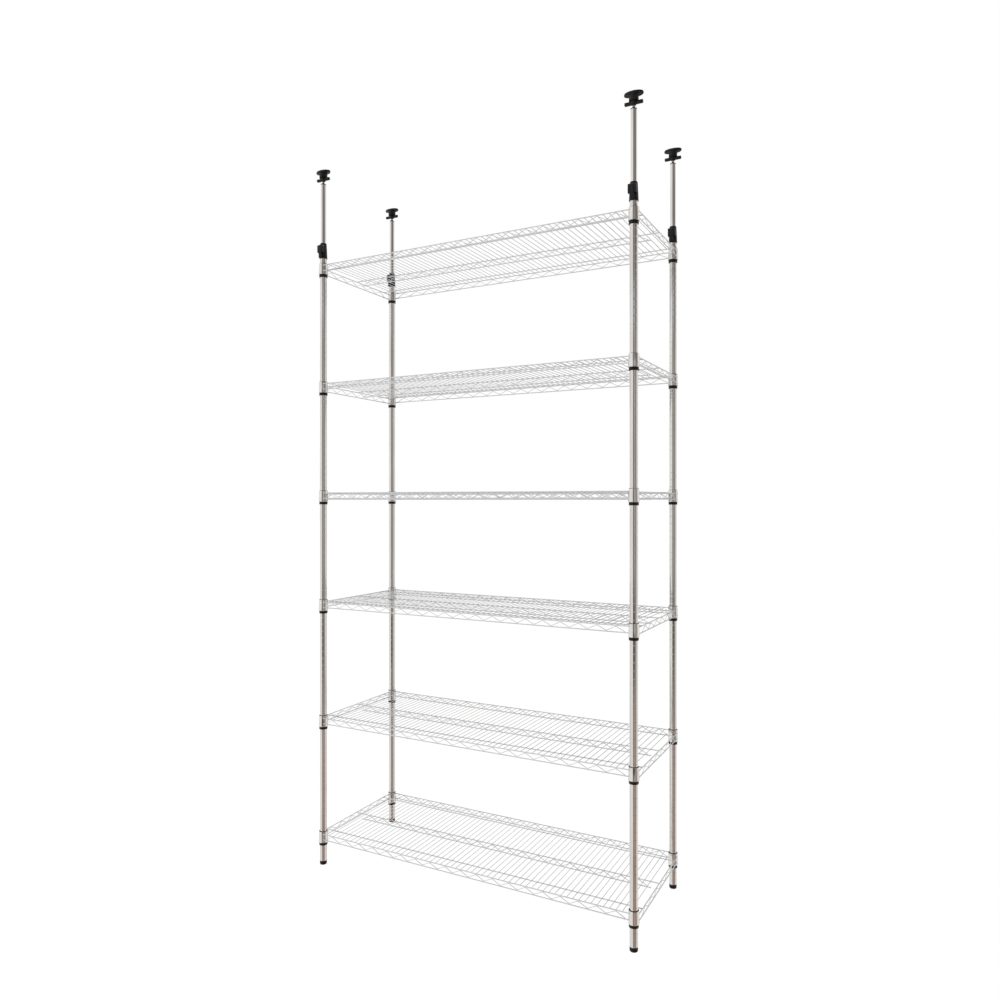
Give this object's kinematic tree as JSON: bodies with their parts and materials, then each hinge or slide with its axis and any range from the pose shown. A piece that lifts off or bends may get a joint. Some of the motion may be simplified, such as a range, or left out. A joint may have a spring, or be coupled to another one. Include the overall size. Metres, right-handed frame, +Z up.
{
  "type": "wire shelving unit",
  "caption": "Tall chrome wire shelving unit on grooved round posts, wedged between floor and ceiling by telescoping poles with lock clamps, wing handles and oval pads.",
  "frame": {"origin": "on the floor, midway between the four posts", "axes": "+Z up, +X along the shelves to the right, +Y from front to back"},
  "size_m": [1.245, 0.464, 2.5466],
  "materials": {
    "post": "polished",
    "tube": "polished",
    "wire": "bright",
    "steel": "zinc plated",
    "black_plastic": "satin",
    "sleeve_plastic": "satin",
    "foot_plastic": "satin",
    "hidden_plastic": "plain",
    "liner": "matte"
  },
  "bodies": {
    "frame": {"post_lower_fl": "post", "post_upper_fl": "post", "clamp_fl": "black_plastic", "post_lower_fr": "post", "post_upper_fr": "post", "clamp_fr": "black_plastic", "post_lower_bl": "post", "post_upper_bl": "post", "clamp_bl": "black_plastic", "post_lower_br": "post", "post_upper_br": "post", "clamp_br": "black_plastic", "post_joint_plugs": "hidden_plastic", "foot_inserts": "hidden_plastic", "lever_pins": "steel", "shelf_1": "wire", "shelf_2": "wire", "shelf_3": "wire", "shelf_4": "wire", "shelf_5": "wire", "shelf_6": "wire", "sleeves_1": "sleeve_plastic", "sleeves_2": "sleeve_plastic", "sleeves_3": "sleeve_plastic", "sleeves_4": "sleeve_plastic", "sleeves_5": "sleeve_plastic", "sleeves_6": "sleeve_plastic"},
    "lever_fl": {"lever_fl": "black_plastic"},
    "pole_fl": {"tube_fl": "tube", "tube_plug_fl": "black_plastic"},
    "ceiling_pad_fl": {"pad_fl": "black_plastic", "pad_liner_fl": "liner"},
    "wing_fl": {"handle_fl": "black_plastic", "screw_fl": "steel"},
    "foot_fl": {"foot_fl": "foot_plastic"},
    "lever_fr": {"lever_fr": "black_plastic"},
    "pole_fr": {"tube_fr": "tube", "tube_plug_fr": "black_plastic"},
    "ceiling_pad_fr": {"pad_fr": "black_plastic", "pad_liner_fr": "liner"},
    "wing_fr": {"handle_fr": "black_plastic", "screw_fr": "steel"},
    "foot_fr": {"foot_fr": "foot_plastic"},
    "lever_bl": {"lever_bl": "black_plastic"},
    "pole_bl": {"tube_bl": "tube", "tube_plug_bl": "black_plastic"},
    "ceiling_pad_bl": {"pad_bl": "black_plastic", "pad_liner_bl": "liner"},
    "wing_bl": {"handle_bl": "black_plastic", "screw_bl": "steel"},
    "foot_bl": {"foot_bl": "foot_plastic"},
    "lever_br": {"lever_br": "black_plastic"},
    "pole_br": {"tube_br": "tube", "tube_plug_br": "black_plastic"},
    "ceiling_pad_br": {"pad_br": "black_plastic", "pad_liner_br": "liner"},
    "wing_br": {"handle_br": "black_plastic", "screw_br": "steel"},
    "foot_br": {"foot_br": "foot_plastic"}
  },
  "joints": [
    {"name": "lever_swing_fl", "type": "hinge", "parent": "frame", "child": "lever_fl", "pos_m": [-0.5925, -0.228, 2.269], "axis": [-1, 0, 0], "range_deg": [0, 100]},
    {"name": "pole_slide_fl", "type": "slide", "parent": "frame", "child": "pole_fl", "axis": [0, 0, 1], "range_m": [-0.21, 0.03]},
    {"name": "pad_lift_fl", "type": "slide", "parent": "pole_fl", "child": "ceiling_pad_fl", "axis": [0, 0, 1], "range_m": [-0.006, 0.02]},
    {"name": "wing_turn_fl", "type": "hinge", "parent": "ceiling_pad_fl", "child": "wing_fl", "pos_m": [-0.5925, -0.2135, 2.5165], "axis": [0, 0, 1], "range_deg": [-1728, 5760]},
    {"name": "foot_level_fl", "type": "slide", "parent": "frame", "child": "foot_fl", "axis": [0, 0, -1], "range_m": [0, 0.01]},
    {"name": "lever_swing_fr", "type": "hinge", "parent": "frame", "child": "lever_fr", "pos_m": [0.5925, -0.228, 2.269], "axis": [-1, 0, 0], "range_deg": [0, 100]},
    {"name": "pole_slide_fr", "type": "slide", "parent": "frame", "child": "pole_fr", "axis": [0, 0, 1], "range_m": [-0.21, 0.03]},
    {"name": "pad_lift_fr", "type": "slide", "parent": "pole_fr", "child": "ceiling_pad_fr", "axis": [0, 0, 1], "range_m": [-0.006, 0.02]},
    {"name": "wing_turn_fr", "type": "hinge", "parent": "ceiling_pad_fr", "child": "wing_fr", "pos_m": [0.5925, -0.2135, 2.5165], "axis": [0, 0, 1], "range_deg": [-1728, 5760]},
    {"name": "foot_level_fr", "type": "slide", "parent": "frame", "child": "foot_fr", "axis": [0, 0, -1], "range_m": [0, 0.01]},
    {"name": "lever_swing_bl", "type": "hinge", "parent": "frame", "child": "lever_bl", "pos_m": [-0.5925, 0.199, 2.269], "axis": [-1, 0, 0], "range_deg": [0, 100]},
    {"name": "pole_slide_bl", "type": "slide", "parent": "frame", "child": "pole_bl", "axis": [0, 0, 1], "range_m": [-0.21, 0.03]},
    {"name": "pad_lift_bl", "type": "slide", "parent": "pole_bl", "child": "ceiling_pad_bl", "axis": [0, 0, 1], "range_m": [-0.006, 0.02]},
    {"name": "wing_turn_bl", "type": "hinge", "parent": "ceiling_pad_bl", "child": "wing_bl", "pos_m": [-0.5925, 0.2135, 2.5165], "axis": [0, 0, 1], "range_deg": [-1728, 5760]},
    {"name": "foot_level_bl", "type": "slide", "parent": "frame", "child": "foot_bl", "axis": [0, 0, -1], "range_m": [0, 0.01]},
    {"name": "lever_swing_br", "type": "hinge", "parent": "frame", "child": "lever_br", "pos_m": [0.5925, 0.199, 2.269], "axis": [-1, 0, 0], "range_deg": [0, 100]},
    {"name": "pole_slide_br", "type": "slide", "parent": "frame", "child": "pole_br", "axis": [0, 0, 1], "range_m": [-0.21, 0.03]},
    {"name": "pad_lift_br", "type": "slide", "parent": "pole_br", "child": "ceiling_pad_br", "axis": [0, 0, 1], "range_m": [-0.006, 0.02]},
    {"name": "wing_turn_br", "type": "hinge", "parent": "ceiling_pad_br", "child": "wing_br", "pos_m": [0.5925, 0.2135, 2.5165], "axis": [0, 0, 1], "range_deg": [-1728, 5760]},
    {"name": "foot_level_br", "type": "slide", "parent": "frame", "child": "foot_br", "axis": [0, 0, -1], "range_m": [0, 0.01]}
  ],
  "couplings": [
    {"joint": "wing_turn_fl", "follows": "pad_lift_fl", "rad_per_m": 5026.5},
    {"joint": "wing_turn_fr", "follows": "pad_lift_fr", "rad_per_m": 5026.5},
    {"joint": "wing_turn_bl", "follows": "pad_lift_bl", "rad_per_m": 5026.5},
    {"joint": "wing_turn_br", "follows": "pad_lift_br", "rad_per_m": 5026.5}
  ]
}
